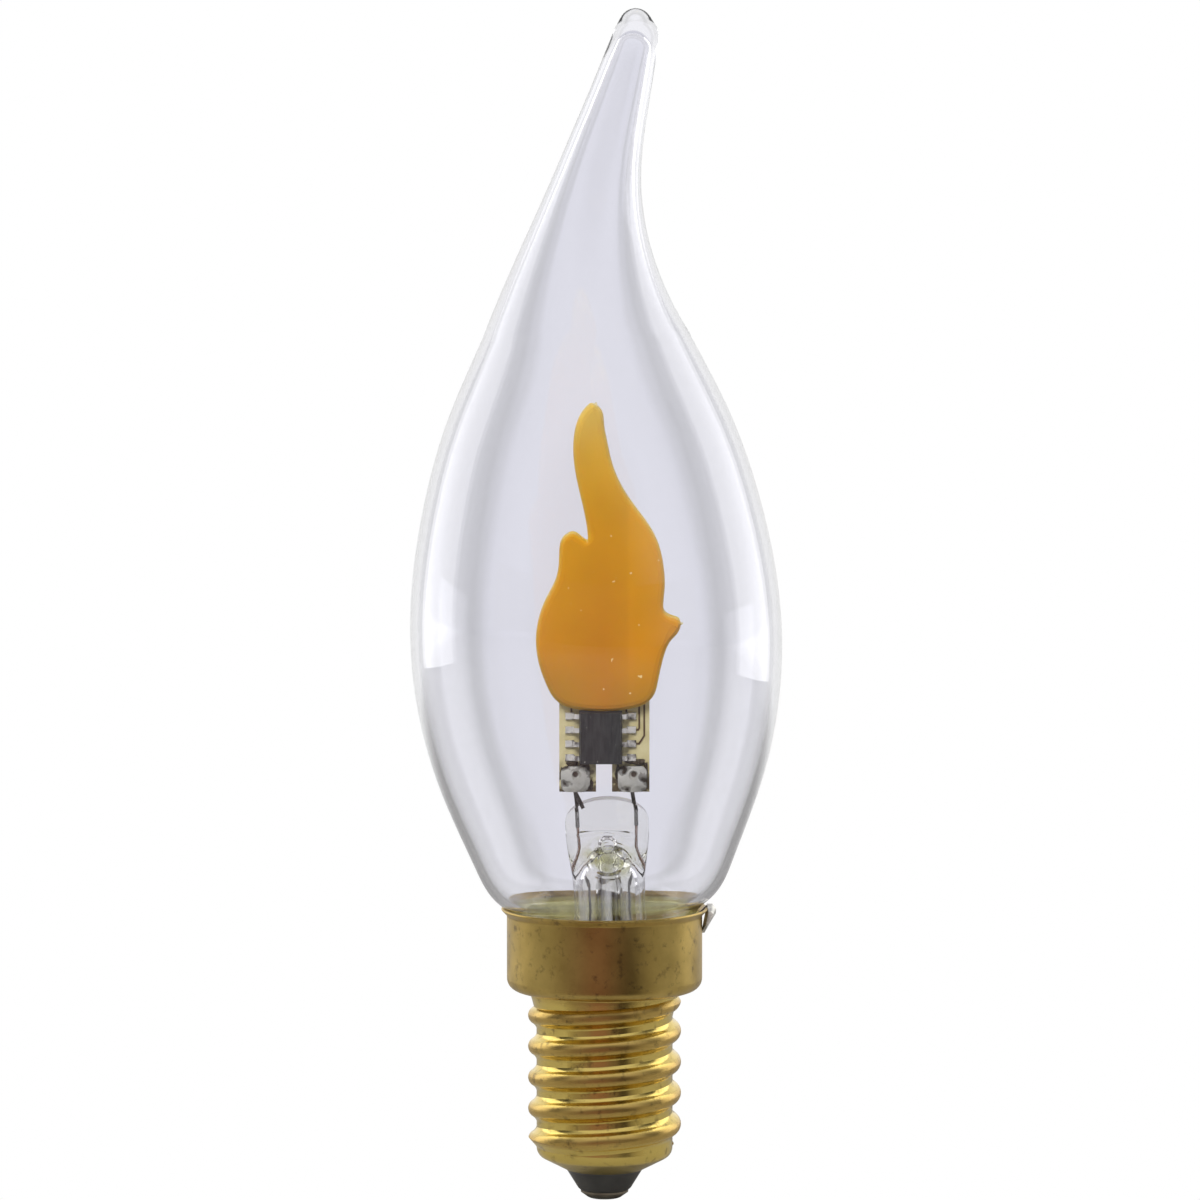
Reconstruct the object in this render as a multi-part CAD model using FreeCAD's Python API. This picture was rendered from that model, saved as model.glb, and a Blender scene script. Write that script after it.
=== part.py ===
import FreeCAD, Part
import math
import os

# A clear candle bulb with a bent flame tip, a small screw cap and a flame-shaped light board.
# Lengths are millimetres, angles are degrees, and +Z runs from the centre contact to the tip.
# The origin is on the axis of the cap, on the flat under the centre contact.
# The tip bends towards +X, and the face of the board with the driver chip looks towards -Y.

V = FreeCAD.Vector
ORIGIN = V(0, 0, 0)
UP = V(0, 0, 1)

# Contact plate, solder and eyelet at the foot
contact_flat_radius = 1.1
solder_radius = 1.6
contact_radius = 2.15
contact_dome_height = 0.15
contact_edge_rise = 0.4
contact_rim = 0.17
eyelet_radius = 0.75
eyelet_bore_radius = 0.5
eyelet_length = 1.1

# Black glass insulator
insulator_ledge = 0.25
insulator_ledge_rise = 0.23
insulator_spread = 1.7
insulator_rise = 0.6

# Brass cap: cone at the foot
sheet = 0.25
foot_hole_radius = 3.5
foot_hole_height = 2.65
foot_rise = 1.35
foot_corner_radius = 1.0

# Brass cap: rolled 14 mm thread
thread_radius = 6.9
thread_depth = 0.8
thread_pitch = 2.822
thread_foot_rise = 0.65
thread_length = 13.8
first_crest_rise = 2.1
run_out = 1.0
root_land = 0.04

# Brass cap: throat, shoulder, collar and turned-out lip
throat_step = 0.55
throat_run = 1.9
throat_fillet = 0.35
shoulder_rise = 0.5
shoulder_corner_radius = 1.1
collar_radius = 8.8
collar_length = 6.8
lip_length = 0.65
lip_angle = 45.0

# Glass envelope: neck in the collar
neck_gap = 0.65
neck_sink = 3.7
neck_length = 2.7
glass_wall = 0.75
glass_lean = 2.0
glass_offset = 0.12

# Glass envelope at the lip, as (rise from the place before, radius beyond the neck)
glass_mouth = [(1.35, 0.52), (1.0, 1.7)]

# Glass envelope above it, as (rise from the place before, radius)
glass_body = [
    (3.6, 11.75),
    (7.3, 14.65),
    (12.6, 16.7),
    (12.6, 15.05),
    (7.2, 12.8),
    (7.1, 9.5),
    (7.2, 6.25),
    (7.1, 3.95),
    (7.1, 2.75),
    (5.4, 2.1),
]
bend_rise = 53.25
bend_radius = 60.0
bend_angle = 17.8
cavity_end_gap = 0.8
bead_radius = 1.5
bead_rise = 1.15

# Glass stem: flare and press
flare_round = 2.3
stem_radius = 3.25
stem_wall = 0.85
stem_offset = 0.38
flare_height = 6.55
press_throat = 4.8
press_blade = 3.0
press_crown = 2.0
press_half_width = 3.75
press_half_depth = 1.35
press_squareness = 3.5
dome_rise = 0.7

# Exhaust tube and the blown hole above it
exhaust_radius = 1.2
exhaust_bore = 0.7
exhaust_seat = 0.2
exhaust_drop = 7.4
exhaust_taper = 2.2
bubble_radius = 0.85
bubble_rise = 0.35
vent_radius = 0.6

# Lead wires
nickel_wire = 0.36
dumet_wire = 0.24
outer_wire = 0.22
ribbon_thickness = 0.08
ribbon_width = 0.4
lead_gap = 0.02
lead_half_spacing = 2.58
lead_exit_depth = 1.1
weld_depth = 1.45
dumet_upper = 1.95
dumet_lower = 2.0
dumet_waist_inset = 0.12
dumet_foot_outset = 0.17
outer_lead_drop = 1.4
outer_lead_inset = 0.6
lead_overlap = 1.4
lead_tail_end = (-1.9, 1.4)
side_lead_drop = 0.35

# Circuit board, drawn in the XZ plane, with heights from its foot
board_gap = 0.6
board_thickness = 0.8
board_left = -4.07
board_right = 4.03
board_shoulder = 9.0
notch_left = -0.77
notch_right = 0.67
notch_height = 2.5

# Flame outline of the board, from the tip round by the left, as (x, height)
flame_tip = (-0.72, 34.9)
flame_notch = (-1.3, 22.2)
left_horn = (-3.3, 23.25)
flame_left_foot = (-4.07, 8.1)
flame_right_foot = (4.03, 8.3)
right_horn = (7.05, 15.12)
right_crook = (4.95, 16.35)
flame_left_edge = [(-2.1, 33.5), (-2.62, 31.3), (-2.4, 28.5), (-1.5, 24.4)]
horn_left_edge = [(-2.2, 22.75)]
belly_left_edge = [(-3.9, 21.3), (-4.05, 19.5), (-5.1, 17.2), (-5.97, 14.0), (-5.6, 11.2)]
flame_bottom_edge = [(-2.2, 7.62), (1.8, 7.62)]
belly_right_edge = [(4.75, 10.7), (5.3, 12.8), (6.1, 14.2)]
horn_right_edge = [(6.05, 15.55)]
flame_right_edge = [(5.18, 19.6), (4.4, 22.8), (2.2, 26.0), (0.6, 29.1), (-0.05, 32.0)]

# Phosphor gel and the light chips under it
gel_thickness = 1.3
gel_edge_radius = 0.6
gel_overhang = 0.18
gel_point_spacing = 1.5
gel_edge_steps = 3
die_length = 0.8
die_width = 0.4
die_thickness = 0.15
die_places = [
    (-2.7, 10.4), (0.0, 10.0), (2.7, 10.6), (-3.9, 13.6), (-1.2, 13.2), (1.6, 13.4), (3.9, 14.4),
    (-2.8, 16.8), (0.0, 16.4), (2.7, 16.9), (-1.6, 19.8), (1.2, 19.6), (3.2, 20.6),
    (1.4, 23.2), (0.1, 26.2), (-0.8, 29.0), (-1.3, 31.8),
]

# Driver chip in front, rectifier behind
package_standoff = 0.1
package_draft = 0.15
chip_width = 3.85
chip_length = 4.8
chip_thickness = 1.4
chip_x = -0.35
chip_height = 4.95
chip_pin_pitch = 1.25
chip_pins_per_side = 4
chip_mark_radius = 0.3
chip_mark_depth = 0.08
rectifier_width = 3.9
rectifier_length = 4.7
rectifier_thickness = 1.4
rectifier_x = 0.0
rectifier_height = 4.85
rectifier_pin_pitch = 2.54
rectifier_pins_per_side = 2
pin_width = 0.42
pin_thickness = 0.2
pin_shoulder = 0.3
pin_slope = 0.25
pin_foot = 0.6
joint_margin = 0.1
joint_thickness = 0.32

# Copper tracks beside the driver chip, as (x, height)
track_width = 0.17
track_thickness = 0.05
tracks = [
    [(2.85, 5.57), (3.02, 5.57), (3.11, 5.75), (3.11, 8.6)],
    [(2.85, 4.32), (3.1, 4.32), (3.56, 5.05), (3.56, 8.8)],
    [(1.95, 7.15), (1.95, 7.4), (1.95, 8.0)],
    [(-2.98, 7.1), (-2.98, 7.3), (-2.98, 8.0)],
]

# Pillows of solder on the two terminals
terminal_width = 2.6
terminal_length = 2.3
terminal_thickness = 1.1
terminal_crown = 2.2
terminal_round = 0.6
terminal_dent = 0.42
left_terminal_x = -2.62
right_terminal_x = 2.49
terminal_height = 1.2

# Solder wedge outside the lip, as (beyond the collar, above the start of the lip)
side_solder_half_width = 0.9
side_solder_end_share = 0.45
side_solder_profile = [
    (0.42, 1.0), (0.92, 1.0), (1.25, 0.58), (1.22, 0.1), (0.85, -0.5), (0.2, -1.65), (-0.1, -1.65),
]

# Fusible resistor in the cap, cement in the collar
resistor_radius = 1.0
resistor_waist = 0.82
resistor_end = 1.0
resistor_length = 5.0
resistor_x = -2.7
resistor_rise = 5.0
resistor_lead = 0.4
cement_foot_gap = 0.3
cement_head_gap = 0.6

# Heights that follow from the sizes above, from the foot up
contact_edge_height = contact_dome_height + contact_edge_rise
insulator_bottom = contact_edge_height + contact_rim
insulator_edge_height = insulator_bottom + insulator_ledge_rise
eyelet_top = insulator_bottom + eyelet_length
foot_corner = foot_hole_height + foot_rise
insulator_top = foot_corner + insulator_rise
resistor_bottom = insulator_top + resistor_rise
thread_foot = foot_corner + thread_foot_rise
thread_head = thread_foot + thread_length
first_crest = thread_foot + first_crest_rise
shoulder_height = thread_head + shoulder_rise
lip_start = shoulder_height + collar_length
neck_bottom = lip_start - neck_sink
neck_top = neck_bottom + neck_length
bend_start = neck_top + bend_rise
tip_height = neck_top + sum(station[0] for station in glass_mouth + glass_body)
press_start = neck_bottom + flare_height
press_flat_start = press_start + press_throat
press_top = press_flat_start + press_blade
dome_start = press_start + dome_rise
exhaust_top = dome_start + stem_radius - stem_wall + exhaust_seat
exhaust_tip = neck_bottom - exhaust_drop
bubble_height = exhaust_top + bubble_rise
lead_exit = press_top - lead_exit_depth
weld_height = lead_exit - weld_depth
dumet_waist = weld_height - dumet_upper
dumet_foot = dumet_waist - dumet_lower
board_bottom = press_top + board_gap
cement_bottom = neck_bottom + cement_foot_gap
cement_top = lip_start - cement_head_gap

# Radii that follow from the sizes above
thread_root = thread_radius - thread_depth
throat_radius = thread_root + throat_step
insulator_inside_radius = foot_hole_radius + insulator_spread
neck_radius = collar_radius - sheet - neck_gap
outer_lead_spacing = stem_radius - stem_wall - outer_lead_inset


def save(shape, node):
    """Write one piece to its own file."""
    shape.exportStep("parts/" + node + ".step")


def point_xz(pair):
    """A point of the XZ drawing plane."""
    return V(pair[0], 0, pair[1])


def lines(points):
    """Straight edges through the points, in order."""
    return [Part.makeLine(a, b) for a, b in zip(points, points[1:])]


def closed_face(points):
    """Flat face inside a closed run of straight edges."""
    return Part.Face(Part.Wire(lines(points + points[:1])))


def turned_edges(edges):
    """Solid turned about the Z axis from a closed run of edges."""
    return Part.Face(Part.Wire(edges)).revolve(ORIGIN, UP, 360)


def turned(corners):
    """Solid turned about the Z axis from (radius, height) corners."""
    points = [point_xz(corner) for corner in corners]
    return turned_edges(lines(points + points[:1]))


def board_point(pair, y=0.0):
    """A point on the board from its (x, height above the foot of the board)."""
    return V(pair[0], y, board_bottom + pair[1])


def smooth_edge(pairs):
    """One smooth edge through places on the board."""
    curve = Part.BSplineCurve()
    curve.interpolate([board_point(pair) for pair in pairs])
    return curve.toShape()


def rounded_run(corners, radii):
    """Edges through (radius, height) corners, each inner corner rounded by its own radius."""
    points = [point_xz(corner) for corner in corners]
    edges = []
    start = points[0]
    for index, radius in enumerate(radii):
        corner = points[index + 1]
        back = (points[index] - corner).normalize()
        ahead = (points[index + 2] - corner).normalize()
        half_turn = (math.pi - back.getAngle(ahead)) / 2
        reach = radius * math.tan(half_turn)
        depth = radius / math.cos(half_turn) - radius
        arc_start = corner + back * reach
        arc_middle = corner + (back + ahead).normalize() * depth
        arc_end = corner + ahead * reach
        edges.append(Part.makeLine(start, arc_start))
        edges.append(Part.Arc(arc_start, arc_middle, arc_end).toShape())
        start = arc_end
    edges.append(Part.makeLine(start, points[-1]))
    return edges


def wire_along(points, diameter):
    """Round wire: straight runs joined by balls of the same size."""
    radius = diameter / 2
    pieces = []
    for start, end in zip(points, points[1:]):
        run = end - start
        pieces.append(Part.makeCylinder(radius, run.Length, start, run))
    for joint in points[1:-1]:
        pieces.append(Part.makeSphere(radius, joint))
    if len(pieces) == 1:
        return pieces[0]
    return pieces[0].multiFuse(pieces[1:])


def strip_face(path, thickness, normal):
    """Flat face of even thickness along a run of points, with mitred corners."""
    left = []
    right = []
    for index, point in enumerate(path):
        before = path[index] - path[max(index - 1, 0)]
        after = path[min(index + 1, len(path) - 1)] - path[index]
        if index == 0:
            before = after
        if index == len(path) - 1:
            after = before
        side_before = normal.cross(before).normalize()
        side_after = normal.cross(after).normalize()
        side = (side_before + side_after).normalize()
        reach = thickness / 2 / side.dot(side_after)
        left.append(point + side * reach)
        right.append(point - side * reach)
    return closed_face(left + right[::-1])


def smoothstep(value, low, high):
    """0 below low, 1 above high and a smooth rise between."""
    share = min(1.0, max(0.0, (value - low) / (high - low)))
    return share * share * (3 - 2 * share)


def thread_section():
    """Outline of the ridge outside: tangent arcs for crest and grooves, ending just under the land."""
    half_pitch = thread_pitch / 2
    arc = (half_pitch ** 2 + thread_depth ** 2) / (4 * thread_depth)
    flank = half_pitch / 2
    flank_radius = thread_radius - thread_depth / 2
    foot = half_pitch - math.sqrt(arc * root_land)
    middle = (flank + foot) / 2
    foot_radius = thread_root + root_land / 2
    middle_radius = thread_root + arc - math.sqrt(arc ** 2 - (half_pitch - middle) ** 2)
    base = thread_root - sheet / 2
    crest = Part.Arc(V(flank_radius, 0, -flank), V(thread_radius, 0, 0), V(flank_radius, 0, flank))
    above = Part.Arc(V(flank_radius, 0, flank), V(middle_radius, 0, middle), V(foot_radius, 0, foot))
    below = Part.Arc(V(foot_radius, 0, -foot), V(middle_radius, 0, -middle), V(flank_radius, 0, -flank))
    inward = lines([V(foot_radius, 0, foot), V(base, 0, foot), V(base, 0, -foot), V(foot_radius, 0, -foot)])
    return Part.Wire([crest.toShape(), above.toShape()] + inward + [below.toShape()])


def thread_hollow_section():
    """Outline of the hollow behind the ridge, with a flat crest and straight flanks."""
    half_pitch = thread_pitch / 2
    crest = half_pitch / 3
    foot = half_pitch - crest
    crest_radius = thread_radius - sheet
    foot_radius = thread_root - sheet
    base = foot_radius - sheet
    corners = [(crest_radius, -crest), (crest_radius, crest), (foot_radius, foot), (base, foot),
               (base, -foot), (foot_radius, -foot)]
    points = [point_xz(corner) for corner in corners]
    return Part.Wire(lines(points + points[:1]))


def thread_ridge(section, inset):
    """The section swept up the helix and trimmed to the run-outs of the thread, inset by a wall."""
    start = first_crest - thread_pitch
    turns = math.ceil((thread_head - start) / thread_pitch)
    helix = Part.makeLongHelix(thread_pitch, thread_pitch * turns, thread_root, 0, False)
    helix.translate(V(0, 0, start))
    section.translate(V(0, 0, start))
    ridge = Part.Wire(helix.Edges).makePipeShell([section], True, True)
    sunk = sheet / 2
    land = turned([
        (0, thread_foot - sunk),
        (thread_root - sunk - inset, thread_foot - sunk),
        (thread_radius + sheet - inset, thread_foot + run_out + sheet),
        (thread_radius + sheet - inset, thread_head - run_out),
        (throat_radius - sunk - inset, thread_head + sunk),
        (0, thread_head + sunk),
    ])
    return ridge.common(land)


def lip_points():
    """Outer, crown and inner points of the rounded edge of the lip."""
    turn = math.radians(lip_angle)
    along = V(math.sin(turn), 0, math.cos(turn))
    across = V(-math.cos(turn), 0, math.sin(turn))
    outer = V(collar_radius, 0, lip_start) + along * lip_length
    inner = outer + across * sheet
    crown = (outer + inner) / 2 + along * (sheet / 2)
    return outer, crown, inner


def foot_inner_corner():
    """Corner between the thread and the cone inside the foot, and the cone's rise per radius."""
    slope = (foot_corner - foot_hole_height) / (thread_root - foot_hole_radius)
    turn = math.pi / 2 - math.atan(slope)
    return (thread_root - sheet, foot_corner + sheet * math.tan(turn / 2)), slope


def foot_inside_height(radius):
    """Height of the inside of the cone at a radius."""
    corner, slope = foot_inner_corner()
    return corner[1] - (corner[0] - radius) * slope


def cap_outside():
    """Solid out to the outer faces of the cap, thread included."""
    outer, crown, inner = lip_points()
    land_radius = thread_root + root_land
    corners = [
        (foot_hole_radius, foot_hole_height),
        (thread_root, foot_corner),
        (land_radius, thread_foot),
        (land_radius, thread_head - throat_run),
        (throat_radius, thread_head),
        (throat_radius, shoulder_height),
        (collar_radius, shoulder_height),
        (collar_radius, lip_start),
        (outer.x, outer.z),
    ]
    radii = [foot_corner_radius, 0.01, 0.01, 0.01, throat_fillet, shoulder_corner_radius, sheet]
    edges = rounded_run(corners, radii)
    edges.append(Part.Arc(outer, crown, inner).toShape())
    foot_hole_edge = V(foot_hole_radius, 0, foot_hole_height)
    edges += lines([inner, V(0, 0, inner.z), V(0, 0, foot_hole_height), foot_hole_edge])
    return turned_edges(edges).fuse(thread_ridge(thread_section(), 0.0))


def cap_inside():
    """Solid that fills the cap and runs out through its two openings."""
    inner = lip_points()[2]
    corner, slope = foot_inner_corner()
    land_radius = thread_root + root_land - sheet
    inside_radius = collar_radius - sheet
    lip_corner = lip_start + sheet * math.tan(math.radians(lip_angle) / 2)
    corners = [
        (foot_hole_radius, foot_inside_height(foot_hole_radius)),
        corner,
        (land_radius, thread_foot),
        (land_radius, thread_head - throat_run),
        (throat_radius - sheet, thread_head),
        (throat_radius - sheet, shoulder_height + sheet),
        (inside_radius, shoulder_height + sheet),
        (inside_radius, lip_corner),
        (inner.x, inner.z),
    ]
    radii = [
        foot_corner_radius - sheet, 0.01, 0.01, 0.01,
        throat_fillet + sheet, shoulder_corner_radius - sheet, 2 * sheet,
    ]
    edges = rounded_run(corners, radii)
    below = foot_hole_height - sheet
    above = inner.z + sheet
    edges += lines([
        inner,
        V(inner.x, 0, above),
        V(0, 0, above),
        V(0, 0, below),
        V(foot_hole_radius, 0, below),
        V(foot_hole_radius, 0, foot_inside_height(foot_hole_radius)),
    ])
    return turned_edges(edges).fuse(thread_ridge(thread_hollow_section(), sheet))


def insulator():
    """Black glass moulded into the foot of the cap, with a bore for the eyelet and the lead."""
    return turned([
        (eyelet_radius, insulator_bottom),
        (contact_radius, insulator_bottom),
        (contact_radius + insulator_ledge, insulator_edge_height),
        (foot_hole_radius - sheet / 2, foot_hole_height - sheet / 2),
        (foot_hole_radius, foot_hole_height),
        (foot_hole_radius, foot_inside_height(foot_hole_radius)),
        (insulator_inside_radius, foot_inside_height(insulator_inside_radius)),
        (insulator_inside_radius, insulator_top),
        (eyelet_bore_radius, insulator_top),
        (eyelet_bore_radius, eyelet_top),
        (eyelet_radius, eyelet_top),
    ])


def centre_contact():
    """Domed brass plate with an eyelet that runs up into the black glass."""
    return turned([
        (eyelet_bore_radius, contact_dome_height),
        (solder_radius, contact_dome_height),
        (contact_radius, contact_edge_height),
        (contact_radius, insulator_bottom),
        (eyelet_radius, insulator_bottom),
        (eyelet_radius, eyelet_top),
        (eyelet_bore_radius, eyelet_top),
    ])


def centre_solder(lead):
    """Low dome of solder on the plate, with a flat at its foot, filling the eyelet round the lead."""
    sag = contact_dome_height / 4
    shoulder = V((contact_flat_radius + solder_radius) / 2 + sag, 0, sag)
    rim = V(solder_radius, 0, contact_dome_height)
    flat_edge = V(contact_flat_radius, 0, 0)
    fill = (contact_dome_height + eyelet_top) / 2
    edges = [Part.Arc(flat_edge, shoulder, rim).toShape()]
    edges += lines([
        rim,
        V(eyelet_bore_radius, 0, contact_dome_height),
        V(eyelet_bore_radius, 0, fill),
        V(0, 0, fill),
        ORIGIN,
        flat_edge,
    ])
    return turned_edges(edges).cut(lead)


def place_in_cap(shape):
    """Lean the upright glass in the cap, about the start of the lip."""
    placed = shape.copy()
    placed.rotate(V(0, 0, lip_start), V(0, 1, 0), -glass_lean)
    placed.translate(V(glass_offset, 0, 0))
    return placed


def glass_point(x, z, y=0.0):
    """A point of the upright glass after the lean."""
    return place_in_cap(Part.Vertex(V(x, y, z))).Point


def glass_axis(height):
    """Point and tilt of the glass axis at a height: straight, then an arc, then straight."""
    rise = height - bend_start
    if rise <= 0:
        return V(0, 0, height), 0.0
    full_turn = math.radians(bend_angle)
    arc_rise = bend_radius * math.sin(full_turn)
    if rise <= arc_rise:
        tilt = math.asin(rise / bend_radius)
        return V(bend_radius * (1 - math.cos(tilt)), 0, height), math.degrees(tilt)
    shift = bend_radius * (1 - math.cos(full_turn)) + (rise - arc_rise) * math.tan(full_turn)
    return V(shift, 0, height), bend_angle


def glass_outline(wall):
    """Radius of the blown glass against height as one smooth curve, inset by a wall."""
    height = neck_top
    points = [V(neck_radius, 0, height)]
    for rise, beyond in glass_mouth:
        height += rise
        points.append(V(neck_radius + beyond, 0, height))
    for rise, radius in glass_body:
        height += rise
        points.append(V(radius, 0, height))
    run_in = points[-1] - points[-2]
    curve = Part.BSplineCurve()
    curve.interpolate(Points=points, InitialTangent=UP, FinalTangent=run_in)
    if wall == 0:
        return curve
    inset_points = []
    for point in points:
        along = curve.tangent(curve.parameter(point))[0]
        inset_points.append(point + V(-along.z, 0, along.x) * wall)
    inside = Part.BSplineCurve()
    inside.interpolate(Points=inset_points, InitialTangent=UP, FinalTangent=run_in)
    return inside


def at_height(curve, height):
    """Parameter of the outline where it passes a height."""
    low = curve.FirstParameter
    high = curve.LastParameter
    for step in range(50):
        middle = (low + high) / 2
        if curve.value(middle).z < height:
            low = middle
        else:
            high = middle
    return middle


def blown_form(wall, bottom, end_height):
    """Neck and body turned about the upright axis, with the bent tip drawn on through rings."""
    curve = glass_outline(wall)
    start = curve.value(curve.FirstParameter)
    split = at_height(curve, bend_start)
    top = curve.value(split)
    edges = [curve.toShape(curve.FirstParameter, split)]
    edges += lines([top, V(0, 0, top.z), V(0, 0, bottom), V(start.x, 0, bottom), start])
    body = turned_edges(edges)
    ring_count = 9
    rings = []
    for index in range(ring_count):
        height = bend_start + (end_height - bend_start) * index / (ring_count - 1)
        centre, tilt = glass_axis(height)
        circle = Part.Wire(Part.Circle(ORIGIN, UP, curve.value(at_height(curve, height)).x).toShape())
        circle.rotate(ORIGIN, V(0, 1, 0), tilt)
        circle.translate(centre)
        rings.append(circle)
    end_radius = curve.value(at_height(curve, end_height)).x
    end_ball = Part.makeSphere(end_radius, glass_axis(end_height)[0])
    return body.multiFuse([Part.makeLoft(rings, True, False), end_ball])


def glass_outside():
    """Outer form of the envelope with the pinched-off bead on its tip."""
    tip_centre, tilt = glass_axis(tip_height)
    bead = Part.makeSphere(bead_radius, tip_centre + V(0, 0, bead_rise))
    return blown_form(0.0, neck_bottom, tip_height).fuse(bead)


def glass_envelope():
    """Clear blown glass: neck, body and bent tip."""
    return glass_outside().cut(blown_form(glass_wall, neck_bottom - glass_wall, tip_height - cavity_end_gap))


def press_section(height, half_width, half_depth, squareness):
    """Closed smooth outline of the glass press at a height, from round to nearly oblong."""
    count = 24
    power = 2 / squareness
    points = []
    for index in range(count):
        turn = 2 * math.pi * index / count
        across = math.copysign(abs(math.cos(turn)) ** power, math.cos(turn))
        deep = math.copysign(abs(math.sin(turn)) ** power, math.sin(turn))
        points.append(V(half_width * across, half_depth * deep, height))
    curve = Part.BSplineCurve()
    curve.interpolate(points, PeriodicFlag=True)
    return Part.Wire(curve.toShape())


def glass_press():
    """Squeezed top of the stem, from the round tube to the flat blade with its arched edge."""
    sections = [Part.Wire(Part.Circle(V(0, 0, press_start), UP, stem_radius).toShape())]
    steps = 3
    for step in range(1, steps + 1):
        share = smoothstep(step / steps, 0, 1)
        sections.append(press_section(
            press_start + (press_flat_start - press_start) * step / steps,
            stem_radius + (press_half_width - stem_radius) * share,
            stem_radius + (press_half_depth - stem_radius) * share,
            2 + (press_squareness - 2) * share,
        ))
    sections.append(press_section(press_top, press_half_width, press_half_depth, press_squareness))
    blade = Part.makeLoft(sections, True, False)
    spring = press_top - press_crown
    reach = 2 * stem_radius
    arch = Part.Face(Part.Wire(Part.Ellipse(V(0, -reach, spring), press_half_width, press_crown).toShape()))
    arch.rotate(V(0, -reach, spring), V(1, 0, 0), 90)
    arch = arch.extrude(V(0, 2 * reach, 0))
    side = press_half_width
    below = Part.makeBox(2 * side, 2 * reach, spring - press_start, V(-side, -reach, press_start))
    return blade.common(arch.fuse(below))


def stem_bore():
    """Inside of the flare tube: trumpet mouth, straight bore and round end."""
    bore = stem_radius - stem_wall
    bottom = neck_bottom - stem_wall
    mouth = bore + flare_round + stem_wall
    corners = [(mouth + stem_wall, bottom), (bore, bottom), (bore, dome_start)]
    edges = rounded_run(corners, [flare_round + stem_wall])
    crown = Part.Arc(V(bore, 0, dome_start), V(bore * math.sqrt(0.5), 0, dome_start + bore * math.sqrt(0.5)),
                     V(0, 0, dome_start + bore))
    edges.append(crown.toShape())
    below = bottom - stem_wall
    edges += lines([V(0, 0, dome_start + bore), V(0, 0, below), V(mouth + stem_wall, 0, below),
                    V(mouth + stem_wall, 0, bottom)])
    return turned_edges(edges)


def glass_stem(leads):
    """Flare and press in one piece of clear glass, closed round the lead wires."""
    bottom = neck_bottom - stem_wall
    brim = neck_radius + stem_offset
    corners = [(brim, neck_bottom), (stem_radius, neck_bottom), (stem_radius, press_start)]
    edges = rounded_run(corners, [flare_round])
    edges += lines([V(stem_radius, 0, press_start), V(0, 0, press_start), V(0, 0, bottom),
                    V(brim, 0, bottom), V(brim, 0, neck_bottom)])
    glass = turned_edges(edges).fuse(glass_press())
    seat = Part.makeCylinder(exhaust_radius, exhaust_top - dome_start, V(0, 0, dome_start))
    bubble = Part.makeSphere(bubble_radius, V(0, 0, bubble_height))
    vent = Part.makeCylinder(vent_radius, stem_radius, V(0, 0, bubble_height), V(0, -1, 0))
    glass = glass.cut([stem_bore(), seat, bubble, vent])
    glass.translate(V(stem_offset, 0, 0))
    trim = Part.makeCylinder(neck_radius, press_top, V(0, 0, bottom))
    return place_in_cap(glass.common(trim)).cut(leads)


def exhaust_tube():
    """Thin glass tube down the middle of the stem, drawn off to a closed point in the cap."""
    shoulder = exhaust_tip + exhaust_taper
    wall = exhaust_radius - exhaust_bore
    tube = turned([
        (0, exhaust_tip),
        (wall, exhaust_tip + wall / 2),
        (exhaust_radius, shoulder),
        (exhaust_radius, exhaust_top),
        (exhaust_bore, exhaust_top),
        (exhaust_bore, shoulder + wall / 2),
        (0, shoulder - wall),
    ])
    tube.translate(V(stem_offset, 0, 0))
    return place_in_cap(tube)


def lead_points(side):
    """Places of one lead in the press: weld, waist and foot of the dumet part, bend below."""
    weld = glass_point(stem_offset + side * lead_half_spacing, weld_height)
    waist = glass_point(stem_offset + side * (lead_half_spacing - dumet_waist_inset), dumet_waist)
    foot = glass_point(stem_offset + side * (lead_half_spacing + dumet_foot_outset), dumet_foot)
    bend = glass_point(stem_offset + side * outer_lead_spacing, dumet_foot - outer_lead_drop)
    return weld, waist, foot, bend


def inner_lead(side, terminal_x, tail):
    """Nickel lead from the weld in the press up to the terminal, with its cut-off tail."""
    front = -(board_thickness / 2 + nickel_wire / 2 + lead_gap)
    exit_point = glass_point(stem_offset + side * lead_half_spacing, lead_exit)
    lead_end = board_bottom + lead_overlap
    points = [lead_points(side)[0], exit_point]
    points += [V(terminal_x, front, board_bottom), V(terminal_x, front, lead_end)]
    if tail:
        fold = front - nickel_wire - lead_gap
        points.append(V(terminal_x, fold, lead_end))
        points.append(V(terminal_x, fold, board_bottom))
        points.append(V(lead_tail_end[0], fold, board_bottom - lead_tail_end[1]))
    return wire_along(points, nickel_wire)


def dumet_stretch(side):
    """Copper-clad stretch that the press seals on."""
    weld, waist, foot, bend = lead_points(side)
    return wire_along([weld, waist, foot], dumet_wire)


def centre_lead():
    """Lead from the press down through the flare to the resistor in the cap."""
    weld, waist, foot, bend = lead_points(-1)
    mouth = glass_point(stem_offset - outer_lead_spacing, neck_bottom - 2 * stem_wall)
    top = V(resistor_x, 0, resistor_bottom + resistor_length)
    return wire_along([foot, bend, mouth, top], outer_wire)


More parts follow.
